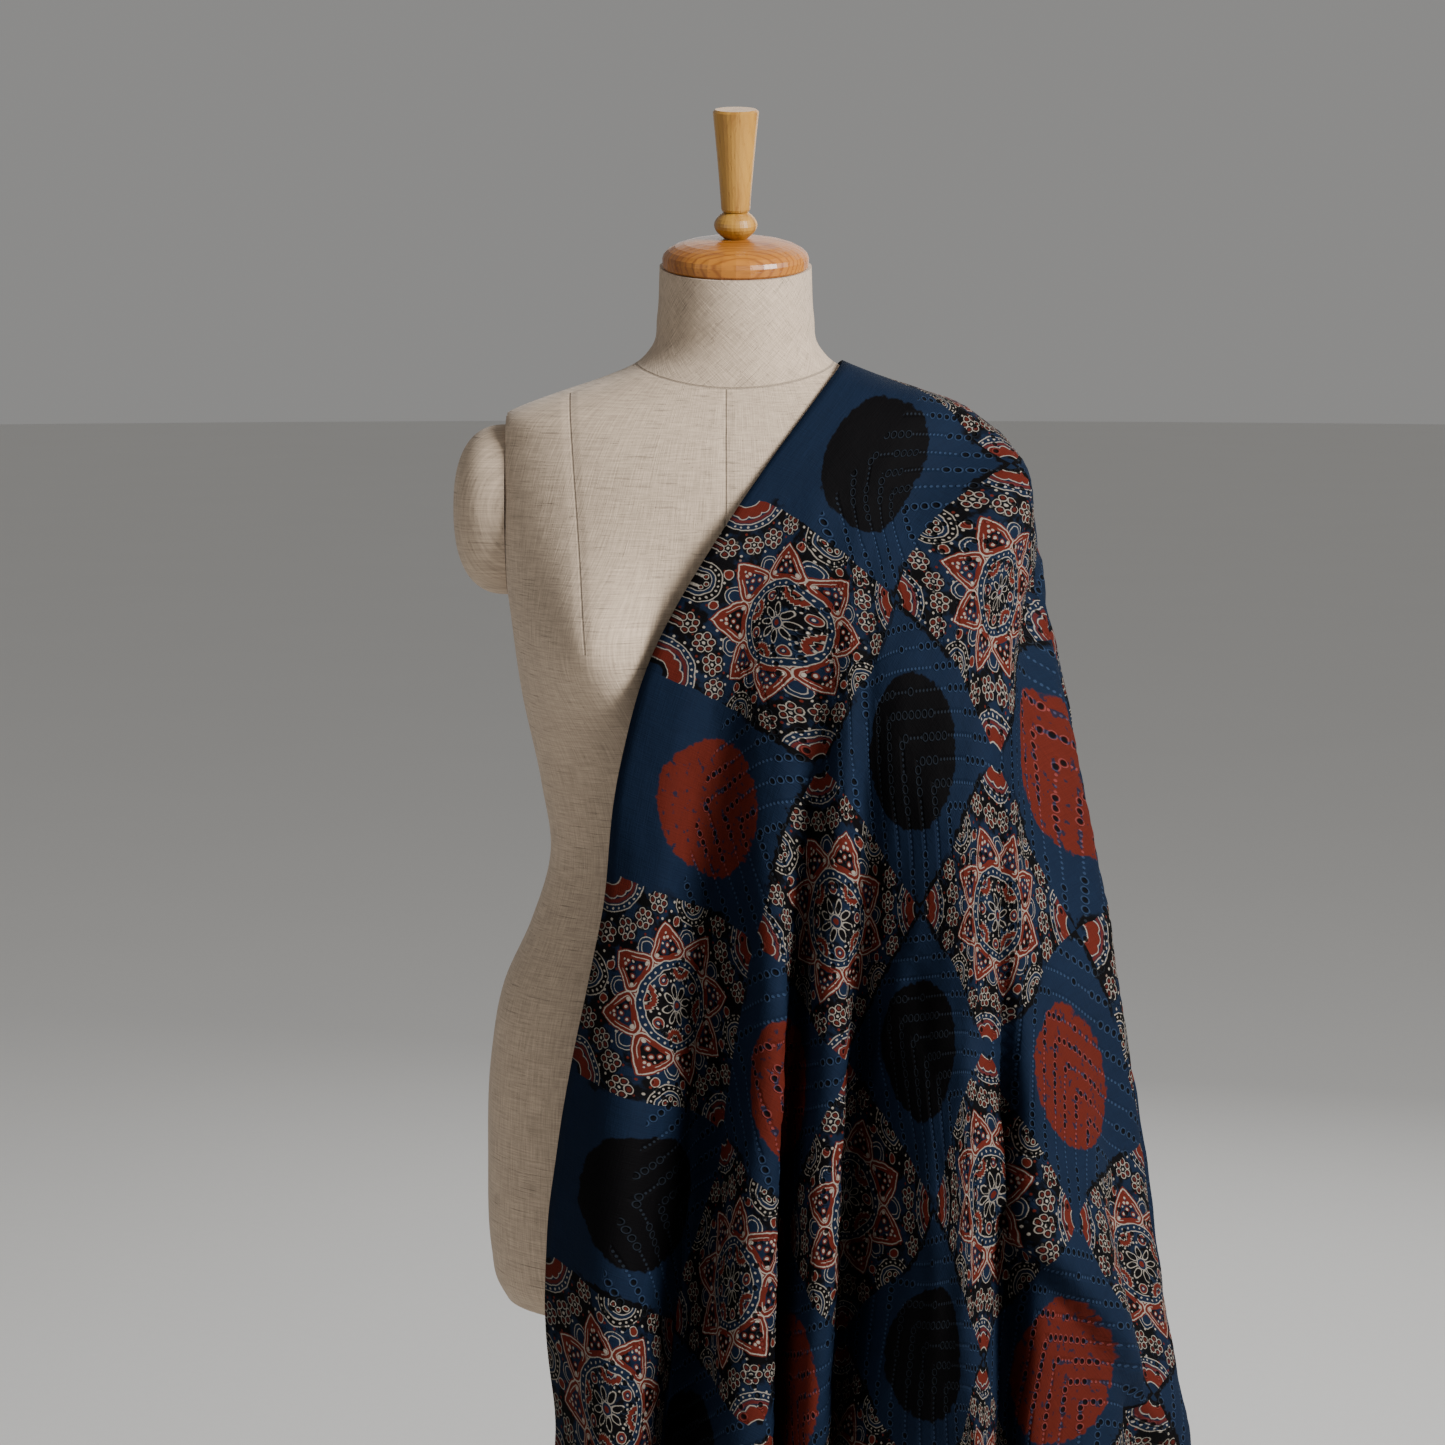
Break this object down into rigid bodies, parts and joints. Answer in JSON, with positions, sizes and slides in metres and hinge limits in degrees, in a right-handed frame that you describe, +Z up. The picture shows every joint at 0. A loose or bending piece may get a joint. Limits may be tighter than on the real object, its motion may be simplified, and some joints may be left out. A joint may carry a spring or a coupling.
{
  "type": "ajrakh cloth draped on a dress form",
  "caption": "Block-printed ajrakh cloth draped over one shoulder of a linen dress form with a wooden cap and handle, on a pole stand.",
  "frame": {"origin": "centre of the underside of the round base, on the floor", "axes": "+Z up along the pole, -Y towards the front of the form, +X towards the shoulder that carries the cloth"},
  "size_m": [0.5365, 0.4808, 1.6545],
  "materials": {
    "printed_cotton": "matte",
    "linen": "matte",
    "cap_wood": "gloss",
    "handle_wood": "satin",
    "stand_metal": "satin"
  },
  "bodies": {
    "root": {"cloth": "printed_cotton", "torso_form": "linen", "arm_cap_left": "linen", "arm_cap_right": "linen", "neck_cap": "cap_wood", "cap_knob": "handle_wood", "cap_handle": "handle_wood", "stand_pole": "stand_metal", "stand_base": "stand_metal"}
  },
  "joints": []
}
